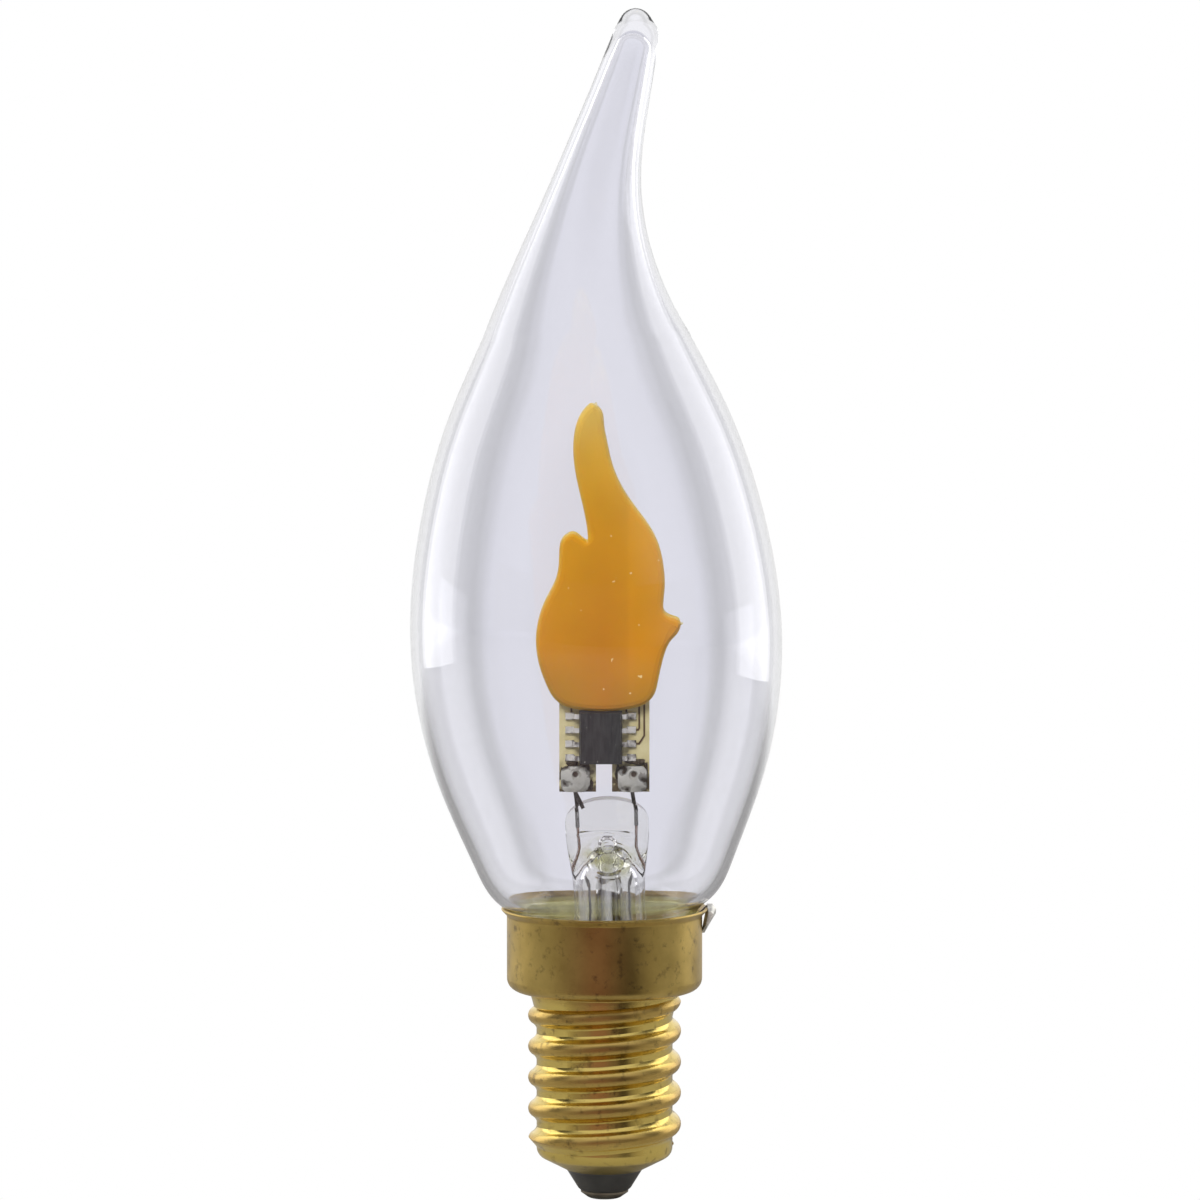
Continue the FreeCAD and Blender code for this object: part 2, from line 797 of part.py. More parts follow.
def side_lead():
    """Lead from the press round the end of the neck and up inside the collar."""
    weld, waist, foot, bend = lead_points(1)
    under = neck_bottom - stem_wall - side_lead_drop
    mouth = glass_point(stem_offset + outer_lead_spacing, under)
    rise = collar_radius - sheet - ribbon_thickness / 2 - lead_gap
    round_rise = collar_radius - sheet - outer_wire / 2 - lead_gap
    ribbon_foot = cement_top
    climb = [V(round_rise, 0, under), V(round_rise, 0, ribbon_foot)]
    round_part = wire_along([foot, bend, mouth] + climb, outer_wire)
    outer, crown, inner = lip_points()
    turn = math.radians(lip_angle)
    along = V(math.sin(turn), 0, math.cos(turn))
    across = V(-math.cos(turn), 0, math.sin(turn))
    clear = ribbon_thickness / 2 + lead_gap
    over = along * (sheet / 2 + clear)
    path = [
        V(rise, 0, ribbon_foot),
        V(rise, 0, lip_start + (sheet + clear) * math.tan(turn / 2)),
        inner + across * clear + over,
        outer - across * clear + over,
    ]
    flat_part = strip_face(path, ribbon_thickness, V(0, 1, 0)).extrude(V(0, ribbon_width, 0))
    flat_part.translate(V(0, -ribbon_width / 2, 0))
    return round_part.fuse(flat_part)


def flame_wire():
    """Outline of the flame: smooth edges between its tips and crooks."""
    edges = [
        smooth_edge([flame_tip] + flame_left_edge + [flame_notch]),
        smooth_edge([flame_notch] + horn_left_edge + [left_horn]),
        smooth_edge([left_horn] + belly_left_edge + [flame_left_foot]),
        smooth_edge([flame_left_foot] + flame_bottom_edge + [flame_right_foot]),
        smooth_edge([flame_right_foot] + belly_right_edge + [right_horn]),
        smooth_edge([right_horn] + horn_right_edge + [right_crook]),
        smooth_edge([right_crook] + flame_right_edge + [flame_tip]),
    ]
    return Part.Wire(edges)


def circuit_board():
    """Flame-shaped board on a square foot with two legs."""
    half = board_thickness / 2
    deep = V(0, board_thickness, 0)
    flame = Part.Face(flame_wire()).extrude(deep)
    flame.translate(V(0, -half, 0))
    foot = Part.makeBox(board_right - board_left, board_thickness, board_shoulder,
                        V(board_left, -half, board_bottom))
    notch = Part.makeBox(notch_right - notch_left, board_thickness, notch_height,
                         V(notch_left, -half, board_bottom))
    return flame.fuse(foot).cut(notch).removeSplitter()


def light_chips():
    """Small light chips on the front of the flame."""
    back = -(board_thickness / 2 + die_thickness)
    chips = []
    for place in die_places:
        corner = board_point(place, back) - V(die_width / 2, 0, die_length / 2)
        chips.append(Part.makeBox(die_width, die_thickness, die_length, corner))
    return Part.Compound(chips)


def gel_section(side, depth, inset):
    """Smooth closed outline of the gel: the board's outline with its tips and crooks eased.

    The side is -1 in front of the board and 1 behind it.
    """
    points = []
    for edge in flame_wire().OrderedEdges:
        count = round(edge.Length / gel_point_spacing) + 1
        for index in range(count):
            place = edge.getParameterByLength(edge.Length * (index + 0.5) / count)
            along = edge.tangentAt(place)
            point = edge.valueAt(place) + V(along.z, 0, -along.x) * (gel_overhang - inset)
            points.append(point + V(0, side * (board_thickness / 2 + depth), 0))
    curve = Part.BSplineCurve()
    curve.interpolate(points, PeriodicFlag=True)
    return Part.Wire(curve.toShape())


def phosphor_gel(side, chips):
    """Round-edged pad of gel over one face of the flame, moulded over its light chips."""
    sections = [gel_section(side, 0, 0)]
    for step in range(gel_edge_steps + 1):
        turn = math.pi / 2 * step / gel_edge_steps
        depth = gel_thickness - gel_edge_radius * (1 - math.sin(turn))
        sections.append(gel_section(side, depth, gel_edge_radius * (1 - math.cos(turn))))
    return Part.makeLoft(sections, True, True).cut(chips)


def package_body(width, length, thickness, x, z):
    """Moulded chip body, tapered to both sides of its pin plane."""
    foot = -(board_thickness / 2 + package_standoff)
    sections = []
    for depth, draft in ((0, package_draft), (thickness / 2, 0), (thickness, package_draft)):
        half_width = width / 2 - draft
        half_length = length / 2 - draft
        corners = [(-half_width, -half_length), (half_width, -half_length), (half_width, half_length),
                   (-half_width, half_length)]
        points = [board_point((x + a, z + b), foot - depth) for a, b in corners]
        sections.append(Part.Wire(lines(points + points[:1])))
    return Part.makeLoft(sections, True, True)


def pin_rows(width, thickness, x, z, pitch, per_side, build):
    """Things built at each pin of a package: (side, height) pairs handed to a builder."""
    made = []
    for side in (-1, 1):
        for index in range(per_side):
            height = board_bottom + z + (index - (per_side - 1) / 2) * pitch
            made.append(build(side, x + side * width / 2, height, thickness))
    return Part.Compound(made)


def gull_pin(side, start, height, thickness):
    """Flat pin bent down to the board and out."""
    face = -board_thickness / 2
    middle = face - package_standoff - thickness / 2
    low = face - pin_thickness / 2
    foot = height - pin_width / 2
    knee = start + side * (pin_shoulder + pin_slope)
    path = [
        V(start, middle, foot),
        V(start + side * pin_shoulder, middle, foot),
        V(knee, low, foot),
        V(knee + side * pin_foot, low, foot),
    ]
    return strip_face(path, pin_thickness, UP).extrude(V(0, 0, pin_width))


def pin_solder(side, start, height, thickness):
    """Small rounded block of solder over the foot of a pin."""
    near = start + side * (pin_shoulder + pin_slope - joint_margin)
    far = start + side * (pin_shoulder + pin_slope + pin_foot + joint_margin)
    tall = pin_width + 2 * joint_margin
    corner = V(min(near, far), -board_thickness / 2 - joint_thickness, height - tall / 2)
    block = Part.makeBox(abs(far - near), joint_thickness, tall, corner)
    rim = [edge for edge in block.Edges if abs(edge.BoundBox.YMax - corner.y) < lead_gap]
    return block.makeFillet(joint_margin, rim).cut(gull_pin(side, start, height, thickness))


def terminal_solder(x, lead):
    """Pillow of solder on a terminal, with a dent left by the iron, closed round its lead."""
    face = -board_thickness / 2
    centre = board_point((x, terminal_height), face)
    corner = centre - V(terminal_width / 2, terminal_thickness, terminal_length / 2)
    block = Part.makeBox(terminal_width, terminal_thickness, terminal_length, corner)
    sides = [edge for edge in block.Edges if edge.BoundBox.YLength > terminal_thickness / 2]
    block = block.makeFillet(terminal_round, sides)
    crown = Part.makeSphere(terminal_crown, centre + V(0, terminal_crown - terminal_thickness, 0))
    front = centre - V(-terminal_dent / 4, terminal_thickness, -terminal_dent)
    return block.common(crown).cut([Part.makeSphere(terminal_dent, front), lead])


def copper_tracks(covers):
    """Raised copper tracks that run up beside the driver chip to the gel."""
    face = -board_thickness / 2
    made = []
    for track in tracks:
        path = [board_point(pair, face) for pair in track]
        made.append(strip_face(path, track_width, V(0, 1, 0)).extrude(V(0, -track_thickness, 0)))
    return Part.Compound([strip.cut(covers) for strip in made])


def chip_mark(body):
    """Driver chip body with its round locating mark."""
    face = -(board_thickness / 2 + package_standoff + chip_thickness)
    place = board_point((chip_x + chip_width / 4, chip_height - chip_length / 4), face)
    return body.cut(Part.makeCylinder(chip_mark_radius, chip_mark_depth, place, V(0, 1, 0)))


def behind(shape):
    """The same piece on the back of the board."""
    return shape.mirror(ORIGIN, V(0, 1, 0))


def fuse_resistor():
    """Small resistor body with raised ends, upright in the cap."""
    top = resistor_bottom + resistor_length
    body = turned([
        (0, resistor_bottom),
        (resistor_radius, resistor_bottom),
        (resistor_radius, resistor_bottom + resistor_end),
        (resistor_waist, resistor_bottom + resistor_end + resistor_radius - resistor_waist),
        (resistor_waist, top - resistor_end - resistor_radius + resistor_waist),
        (resistor_radius, top - resistor_end),
        (resistor_radius, top),
        (0, top),
    ])
    body.translate(V(resistor_x, 0, 0))
    return body


def contact_lead():
    """Lead from the resistor to the solder in the centre contact."""
    return wire_along([
        V(resistor_x, 0, resistor_bottom),
        V(resistor_x, 0, resistor_bottom - resistor_end),
        V(0, 0, insulator_top + resistor_end),
        V(0, 0, eyelet_top / 2),
    ], resistor_lead)


def basing_cement(glass, lead):
    """Cement in the gap between the neck and the collar, closed round the side lead."""
    radius = collar_radius - sheet
    fill = Part.makeCylinder(radius, cement_top - cement_bottom, V(0, 0, cement_bottom))
    core = Part.makeCylinder(neck_radius / 2, cement_top - cement_bottom, V(0, 0, cement_bottom))
    return fill.cut([core, glass, lead])


def side_solder(cap, glass, lead):
    """Wedge of solder over the lip and down the collar, on the end of the side lead."""
    middle = [V(collar_radius + out, 0, lip_start + up) for out, up in side_solder_profile]
    centre = V(0, 0, 0)
    for point in middle:
        centre += point * (1 / len(middle))
    sections = []
    for side in (-1, 0, 1):
        share = side_solder_end_share if side else 1.0
        points = [centre + (point - centre) * share for point in middle]
        points = [point + V(0, side * side_solder_half_width, 0) for point in points]
        sections.append(Part.Wire(lines(points + points[:1])))
    return Part.makeLoft(sections, True, True).cut([cap, glass, lead])


def build():
    """Make every piece and write it out."""
    os.makedirs("parts", exist_ok=True)

    outside = cap_outside()
    save(outside.cut(cap_inside()), "cap_shell")
    lead_to_contact = contact_lead()
    save(insulator(), "cap_insulator")
    save(centre_contact(), "centre_contact")
    save(centre_solder(lead_to_contact), "centre_solder")
    save(lead_to_contact, "contact_lead")
    resistor = fuse_resistor()
    save(resistor, "fuse_resistor")

    glass = place_in_cap(glass_outside())
    save(place_in_cap(glass_envelope()), "glass_envelope")
    left_lead = inner_lead(-1, left_terminal_x, True)
    right_lead = inner_lead(1, right_terminal_x, False)
    down_lead = centre_lead().cut(resistor)
    collar_lead = side_lead()
    left_dumet = dumet_stretch(-1).cut([left_lead, down_lead])
    right_dumet = dumet_stretch(1).cut([right_lead, collar_lead])
    save(glass_stem([left_lead, right_lead, left_dumet, right_dumet, down_lead, collar_lead]), "glass_stem")
    save(exhaust_tube(), "exhaust_tube")
    save(left_lead, "inner_lead_left")
    save(right_lead, "inner_lead_right")
    save(left_dumet, "dumet_wire_left")
    save(right_dumet, "dumet_wire_right")
    save(down_lead, "centre_lead")
    save(collar_lead, "side_lead")
    save(basing_cement(glass, collar_lead), "basing_cement")
    save(side_solder(outside, glass, collar_lead), "side_solder")

    save(circuit_board(), "circuit_board")
    driver = (chip_width, chip_thickness, chip_x, chip_height, chip_pin_pitch, chip_pins_per_side)
    driver_body = package_body(chip_width, chip_length, chip_thickness, chip_x, chip_height)
    driver_solder = pin_rows(*driver, pin_solder)
    chips = light_chips()
    gel = phosphor_gel(-1, chips).cut(driver_body)
    save(chips, "light_chips_front")
    save(gel, "phosphor_gel_front")
    save(behind(chips), "light_chips_back")
    save(phosphor_gel(1, behind(chips)), "phosphor_gel_back")
    save(copper_tracks([gel, driver_solder]), "copper_tracks")
    save(terminal_solder(left_terminal_x, left_lead), "terminal_solder_left")
    save(terminal_solder(right_terminal_x, right_lead), "terminal_solder_right")

    save(chip_mark(driver_body), "driver_chip")
    save(pin_rows(*driver, gull_pin), "driver_chip_pins")
    save(driver_solder, "driver_chip_solder")

    bridge = (rectifier_width, rectifier_thickness, rectifier_x, rectifier_height,
              rectifier_pin_pitch, rectifier_pins_per_side)
    bridge_body = package_body(rectifier_width, rectifier_length, rectifier_thickness,
                               rectifier_x, rectifier_height)
    save(behind(bridge_body), "rectifier")
    save(behind(pin_rows(*bridge, gull_pin)), "rectifier_pins")
    save(behind(pin_rows(*bridge, pin_solder)), "rectifier_solder")


build()
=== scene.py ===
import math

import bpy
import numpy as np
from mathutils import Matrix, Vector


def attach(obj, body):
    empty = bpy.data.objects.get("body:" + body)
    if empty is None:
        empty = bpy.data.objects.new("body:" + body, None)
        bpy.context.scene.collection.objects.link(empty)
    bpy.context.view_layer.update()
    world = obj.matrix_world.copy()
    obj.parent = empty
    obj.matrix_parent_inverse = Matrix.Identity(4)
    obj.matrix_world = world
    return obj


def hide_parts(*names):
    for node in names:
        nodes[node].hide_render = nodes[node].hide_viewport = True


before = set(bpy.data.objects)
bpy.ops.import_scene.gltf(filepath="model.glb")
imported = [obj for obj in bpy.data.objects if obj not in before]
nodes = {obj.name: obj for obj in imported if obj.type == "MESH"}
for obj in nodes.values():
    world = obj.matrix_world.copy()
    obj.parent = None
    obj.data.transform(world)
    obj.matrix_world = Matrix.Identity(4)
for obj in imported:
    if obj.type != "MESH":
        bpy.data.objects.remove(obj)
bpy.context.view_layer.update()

# %% [markdown]
# This is a clear candle bulb with a flame-shaped light board inside. The solids come from CAD and
# stay where they are. This file gives each of them its finish, draws the clear glass again as a finer
# net, and sets a small studio round them.
#
# First the number of CAD pieces is printed. Lengths in this file are in millimetres, as on the real
# bulb, and are multiplied by `MM` where Blender needs metres.

MM = 0.001
print("CAD pieces:", len(nodes))

# %% [markdown]
# The camera stands 60 cm in front of the bulb, level with its tip, and looks down by five degrees.
# A long lens keeps the perspective weak, as in a product photograph. The place and the lens were
# worked out from the ellipses of the cap's rim and from the spacing of its thread.

# %% Camera
camera_place = Vector((-0.41, -600, 107))
look_down = 5.03
camera_data = bpy.data.cameras.new("bulb_camera")
camera_data.sensor_width = 36
camera_data.lens = 201.44
camera = bpy.data.objects.new("bulb_camera", camera_data)
camera.location = camera_place * MM
camera.rotation_euler = (math.radians(90 - look_down), 0, 0)
bpy.context.scene.collection.objects.link(camera)
bpy.context.scene.camera = camera
bpy.context.scene.view_settings.view_transform = "Standard"
print("camera height in mm:", round(camera.location.z / MM))

# %% [markdown]
# World, floor and finishes are all made of shader nodes: small boxes whose outputs feed the inputs
# of others. These helpers make a box, give each of its inputs a value or another box's output, and
# hand back the output. Sums, ranges, colour ramps and mixes are then one line each.


# %% Helpers for shader nodes
def feed(tree, node, inputs):
    """Give inputs of a node a socket, a number, a vector or a colour of three numbers."""
    for key, value in inputs.items():
        socket = node.inputs[key]
        if isinstance(value, bpy.types.NodeSocket):
            tree.links.new(value, socket)
        elif socket.type == "RGBA":
            socket.default_value = (*value, 1)
        else:
            socket.default_value = value


def add_node(tree, kind, inputs=None, **settings):
    """A new shader node with its settings and inputs."""
    node = tree.nodes.new(kind)
    for setting, value in settings.items():
        setattr(node, setting, value)
    feed(tree, node, inputs or {})
    return node


def math_node(tree, operation, first, second=0.0):
    """A sum on one or two values."""
    return add_node(tree, "ShaderNodeMath", {0: first, 1: second}, operation=operation).outputs[0]


def mapped(tree, value, low, high, new_low=0.0, new_high=1.0):
    """Map a value from one range to another, held at the ends."""
    return add_node(tree, "ShaderNodeMapRange", {
        "Value": value, "From Min": low, "From Max": high, "To Min": new_low, "To Max": new_high,
    }).outputs["Result"]


def ramp(tree, value, stops):
    """A colour ramp from (position, colour) stops."""
    node = add_node(tree, "ShaderNodeValToRGB", {"Fac": value})
    elements = node.color_ramp.elements
    while len(elements) < len(stops):
        elements.new(0.5)
    for element, (position, colour) in zip(elements, stops):
        element.position = position
        element.color = (*colour, 1)
    return node.outputs["Color"]


def blend(tree, share, first, second, mode="MIX"):
    """Mix two colours by a share."""
    return add_node(tree, "ShaderNodeMix", {0: share, 6: first, 7: second},
                    data_type="RGBA", blend_type=mode).outputs[2]


def mix_shaders(tree, share, first, second):
    """Mix two shaders by a share."""
    return add_node(tree, "ShaderNodeMixShader", {0: share, 1: first, 2: second}).outputs[0]


def axes(tree, place):
    """The X, Y and Z of a place."""
    split = add_node(tree, "ShaderNodeSeparateXYZ", {0: place})
    return split.outputs["X"], split.outputs["Y"], split.outputs["Z"]


helpers = (feed, add_node, math_node, mapped, ramp, blend, mix_shaders, axes)
print("helpers for shader nodes:", [helper.__name__ for helper in helpers])

# %% [markdown]
# Most of this bulb is clear glass and bright brass, so the studio is what the eye sees on it. The
# world is plain white to the camera, also where it looks straight through the glass. In reflections
# and as a light it runs from dark in front over a bright zone to dark at the sides and white behind.
# The dark zones draw the soft grey stripes beside the white bands on the glass.


# %% World
def see_through_switch(tree, lit, plain):
    """Show the plain shader to the camera, also straight through glass, and the lit one otherwise."""
    path = add_node(tree, "ShaderNodeLightPath")
    bounces = math_node(tree, "ADD", path.outputs["Diffuse Depth"], path.outputs["Glossy Depth"])
    straight = math_node(tree, "LESS_THAN", bounces, 0.5)
    through = math_node(tree, "MULTIPLY", straight, path.outputs["Is Transmission Ray"])
    seen = math_node(tree, "MAXIMUM", through, path.outputs["Is Camera Ray"])
    return mix_shaders(tree, seen, lit, plain)


front_to_back = [
    (0.0, (0.06, 0.06, 0.07)), (0.05, (0.1, 0.1, 0.11)), (0.17, (0.7, 0.7, 0.78)),
    (0.27, (0.6, 0.6, 0.67)), (0.37, (0.08, 0.08, 0.09)), (0.58, (0.08, 0.08, 0.09)),
    (0.8, (0.7, 0.7, 0.74)), (0.92, (1.0, 1.0, 1.0)),
]
ceiling_tone = (0.75, 0.75, 0.8)
world = bpy.data.worlds.new("white_room")
bpy.context.scene.world = world
world.use_nodes = True
tree = world.node_tree
tree.nodes.clear()
x, y, z = axes(tree, add_node(tree, "ShaderNodeTexCoord").outputs["Generated"])
walls = ramp(tree, mapped(tree, y, -1, 1), front_to_back)
room = blend(tree, mapped(tree, z, 0.55, 0.9), walls, ceiling_tone)
lit_room = add_node(tree, "ShaderNodeBackground", {"Color": room, "Strength": 1.0})
backdrop = add_node(tree, "ShaderNodeBackground", {"Color": (1, 1, 1), "Strength": 1.0})
surface = see_through_switch(tree, lit_room.outputs[0], backdrop.outputs[0])
add_node(tree, "ShaderNodeOutputWorld", {"Surface": surface})
print("world stops from front to back:", len(front_to_back))

# %% [markdown]
# Two tall softboxes stand beside the bulb and a little behind it. Their reflections are the white
# bands down both sides of the glass, which stop where the glass turns in towards the cap. A third
# one hangs above and in front and lights the flame. Glass and brass don't mirror that one.


# %% Softboxes
def softbox(name, place, target, width, height, strength):
    """A rectangular area lamp that faces a point."""
    data = bpy.data.lights.new(name, "AREA")
    data.shape = "RECTANGLE"
    data.size = width * MM
    data.size_y = height * MM
    data.energy = strength
    lamp = bpy.data.objects.new(name, data)
    lamp.location = Vector(place) * MM
    facing = Vector(target) * MM - lamp.location
    lamp.rotation_euler = facing.to_track_quat("-Z", "Y").to_euler()
    bpy.context.scene.collection.objects.link(lamp)
    return lamp


softbox_height = 202
for name, side in (("left_softbox", -1), ("right_softbox", 1)):
    softbox(name, (side * 262, 125, softbox_height), (0, 0, softbox_height), 186, 396, 0.29)
flame_light = softbox("flame_light", (-120, -430, 420), (0, 0, 60), 260, 260, 3.1)
flame_light.visible_glossy = False
flame_light.visible_transmission = False

# %% [markdown]
# The floor is a flat sheet of pale paper that turns to white behind the bulb. To the camera all of it
# is as white as the world, so that the bulb seems to float.


# %% Floor
def grid_mesh(name, points, faces):
    """A mesh object from places in millimetres and a list of faces."""
    mesh = bpy.data.meshes.new(name)
    mesh.from_pydata([Vector(point) * MM for point in points], [], faces)
    mesh.update()
    made_object = bpy.data.objects.new(name, mesh)
    bpy.context.scene.collection.objects.link(made_object)
    return made_object


def bare_material(name):
    """A material with an empty node tree."""
    material = bpy.data.materials.new(name)
    material.use_nodes = True
    material.node_tree.nodes.clear()
    return material, material.node_tree


def object_place(tree):
    """Place on the piece, in metres."""
    return add_node(tree, "ShaderNodeTexCoord").outputs["Object"]


half_floor = 900
sweep_start, sweep_end = 120, 260
corners = [(half_floor * x, half_floor * y, 0) for x, y in ((-1, -1), (1, -1), (1, 1), (-1, 1))]
floor = grid_mesh("floor", corners, [(0, 1, 2, 3)])
floor_material, tree = bare_material("pale_floor")
paper = add_node(tree, "ShaderNodeBsdfDiffuse", {"Color": (0.36, 0.355, 0.34)}).outputs[0]
glow = add_node(tree, "ShaderNodeEmission", {"Color": (1, 1, 1), "Strength": 1.0}).outputs[0]
x, y, z = axes(tree, object_place(tree))
sweep = mix_shaders(tree, mapped(tree, y, sweep_start * MM, sweep_end * MM), paper, glow)
add_node(tree, "ShaderNodeOutputMaterial", {"Surface": see_through_switch(tree, sweep, glow)})
floor.data.materials.append(floor_material)
print("floor size in mm:", [round(side / MM) for side in floor.dimensions])

# %% [markdown]
# Brass shows whatever stands in front of it. In the photograph a red-brown thing and a dark one are
# mirrored down the middle of the cap. A card stands in for them: a wedge of the floor in front of the
# bulb, turned up at its far end, that only mirrors see. Its colour runs over the wedge.

# %% Card in front of the cap
card_angle = math.radians(64)
rows = [(24, 0.5), (390, 0.5), (400, 130)]
steps = 16
points = []
for reach, height in rows:
    for step in range(steps + 1):
        angle = card_angle * (2 * step / steps - 1)
        points.append((reach * math.sin(angle), -reach * math.cos(angle), height))
across = steps + 1
faces = [
    (row * across + step, row * across + step + 1, (row + 1) * across + step + 1, (row + 1) * across + step)
    for row in range(len(rows) - 1) for step in range(steps)
]
card = grid_mesh("mirrored_card", points, faces)
card.visible_camera = False
card.visible_diffuse = False
card.visible_shadow = False
card.visible_transmission = False
card_material, tree = bare_material("mirrored_card")
x, y, z = axes(tree, object_place(tree))
bearing = math_node(tree, "ARCTAN2", x, math_node(tree, "MULTIPLY", y, -1))
left_to_right = [
    (0.0, (0.42, 0.4, 0.37)), (0.1, (0.3, 0.275, 0.26)), (0.3, (0.25, 0.19, 0.2)),
    (0.36, (0.27, 0.16, 0.17)), (0.5, (0.26, 0.15, 0.16)), (0.57, (0.19, 0.14, 0.14)),
    (0.67, (0.15, 0.12, 0.12)), (0.7, (0.05, 0.04, 0.035)), (0.78, (0.06, 0.05, 0.045)),
    (0.82, (0.2, 0.18, 0.17)), (0.9, (0.32, 0.3, 0.27)), (1.0, (0.4, 0.38, 0.36)),
]
card_colours = ramp(tree, mapped(tree, bearing, -card_angle, card_angle), left_to_right)
glow = add_node(tree, "ShaderNodeEmission", {"Color": card_colours, "Strength": 1.0}).outputs[0]
add_node(tree, "ShaderNodeOutputMaterial", {"Surface": glow})
card.data.materials.append(card_material)
print("card faces:", len(faces))

# %% [markdown]
# Every finish starts from one shader with a few knobs. `mottled` is the plain one: one noise gives
# soft changes of tone and a faint relief, as on any handled or moulded thing.


# %% Helpers for finishes
def finish(name):
    """A new material with its shader and its node tree."""
    material = bpy.data.materials.new(name)
    material.use_nodes = True
    tree = material.node_tree
    return material, tree.nodes["Principled BSDF"], tree


def paint(material, *names):
    """Give CAD pieces their finish."""
    for name in names:
        slots = nodes[name].data.materials
        slots.clear()
        slots.append(material)


def noise(tree, place, scale, detail=4.0, roughness=0.55):
    """A noise texture at a place."""
    return add_node(tree, "ShaderNodeTexNoise", {
        "Vector": place, "Scale": scale, "Detail": detail, "Roughness": roughness,
    }).outputs["Fac"]


def drawn_out(tree, place, share):
    """A place whose Z counts for less, so that noise on it runs up and down in streaks."""
    return add_node(tree, "ShaderNodeMapping", {"Vector": place, "Scale": (1.0, 1.0, share)}).outputs[0]


def span(tree, first, second):
    """Length of the slope over two legs at a right angle."""
    corner = add_node(tree, "ShaderNodeCombineXYZ", {"X": first, "Y": second}).outputs[0]
    return add_node(tree, "ShaderNodeVectorMath", {0: corner}, operation="LENGTH").outputs["Value"]


def relief(tree, shader, height, strength, distance):
    """Bump a shader by a height."""
    bump = add_node(tree, "ShaderNodeBump", {
        "Height": height, "Strength": strength, "Distance": distance * MM,
    })
    feed(tree, shader, {"Normal": bump.outputs["Normal"]})


def mottled(name, colour, spread, scale, roughness, metallic=0.0, strength=0.15):
    """A plain finish with soft changes of tone and height from one noise."""
    material, shader, tree = finish(name)
    cloud = noise(tree, object_place(tree), scale)
    dark = [channel * (1 - spread) for channel in colour]
    light = [min(1, channel * (1 + spread)) for channel in colour]
    tone = ramp(tree, cloud, [(0.3, dark), (0.7, light)])
    feed(tree, shader, {"Base Color": tone, "Metallic": metallic, "Roughness": roughness})
    relief(tree, shader, cloud, strength, 0.05)
    return material


print("finishes so far:", [material.name for material in bpy.data.materials])

# %% [markdown]
# Blown glass is very smooth, and clear glass bends light by the direction of its surface. A net of
# large flat facets would show as jags along the rim, so the envelope is drawn again here as fine
# rings on the same outline. The outline is one smooth curve through a few radii. Blowing the glass
# in a mould gives the body, and pulling the hot end aside gives the bent tip.

# %% Outline of the envelope
neck_radius = 7.9
neck_bottom = 22.05
neck_top = 24.75
glass_wall = 0.75
skin_gap = 0.012
stations = [
    (1.35, 8.42), (1.0, 9.6), (3.6, 11.75), (7.3, 14.65), (12.6, 16.7), (12.6, 15.05),
    (7.2, 12.8), (7.1, 9.5), (7.2, 6.25), (7.1, 3.95), (7.1, 2.75), (5.4, 2.1),
]


def smooth_run(points, first, last):
    """A smooth curve through points, with its directions at both ends given."""
    lengths = np.linalg.norm(np.diff(points, axis=0), axis=1)
    knots = np.concatenate([[0], np.cumsum(lengths)])
    count = len(points)
    matrix = np.eye(count)
    right = np.zeros((count, 2))
    right[0] = first
    right[-1] = last
    for index in range(1, count - 1):
        before, after = lengths[index - 1], lengths[index]
        matrix[index, index - 1:index + 2] = after, 2 * (before + after), before
        rise_before = (points[index] - points[index - 1]) / before
        rise_after = (points[index + 1] - points[index]) / after
        right[index] = 3 * (after * rise_before + before * rise_after)
    slopes = np.linalg.solve(matrix, right)

    def place(length):
        index = int(np.clip(np.searchsorted(knots, length) - 1, 0, count - 2))
        step = lengths[index]
        t = (length - knots[index]) / step
        shift = (t ** 3 - 2 * t ** 2 + t) * slopes[index] + (t ** 3 - t ** 2) * slopes[index + 1]
        return ((2 * t ** 3 - 3 * t ** 2 + 1) * points[index] + (3 * t ** 2 - 2 * t ** 3) * points[index + 1]
                + shift * step)

    return place, knots


def outline(inset):
    """Outline of a skin that lies a given way inside the glass's outside, and its length."""
    points = [np.array([neck_radius, neck_top])]
    for rise, radius in stations:
        points.append(np.array([radius, points[-1][1] + rise]))
    run_in = (points[-1] - points[-2]) / np.linalg.norm(points[-1] - points[-2])
    upright = np.array([0, 1.0])
    place, knots = smooth_run(np.array(points), upright, run_in)
    inner = []
    for knot in knots:
        along = place(min(knot + 0.01, knots[-1])) - place(max(knot - 0.01, 0))
        along /= np.linalg.norm(along)
        inner.append(place(knot) + inset * np.array([-along[1], along[0]]))
    place, knots = smooth_run(np.array(inner), upright, run_in)
    return place, knots[-1]


outer_place, outer_length = outline(skin_gap)
print("outline length in mm:", round(outer_length, 2), "end radius:", round(outer_place(outer_length)[0], 2))

# %% [markdown]
# Each ring sits on the glass axis, which is straight, then turns along an arc, then runs straight
# again. The net is then leaned a little, as the glass stands in its cap.

# %% Axis of the envelope
bend_start = neck_top + 53.25
bend_radius = 60.0
bend_angle = math.radians(17.8)
lip_start = 25.75
glass_lean = math.radians(2.0)
glass_offset = 0.12


def axis_frame(height):
    """Centre of the glass at a height and its tilt."""
    rise = height - bend_start
    if rise <= 0:
        return np.array([0, 0, height]), 0.0
    arc_rise = bend_radius * math.sin(bend_angle)
    if rise <= arc_rise:
        tilt = math.asin(rise / bend_radius)
        return np.array([bend_radius * (1 - math.cos(tilt)), 0, height]), tilt
    shift = bend_radius * (1 - math.cos(bend_angle)) + (rise - arc_rise) * math.tan(bend_angle)
    return np.array([shift, 0, height]), bend_angle


def lean(point):
    """Lean the upright glass in the cap."""
    x, z = point[0], point[2] - lip_start
    return (x * math.cos(glass_lean) - z * math.sin(glass_lean) + glass_offset, point[1],
            x * math.sin(glass_lean) + z * math.cos(glass_lean) + lip_start)


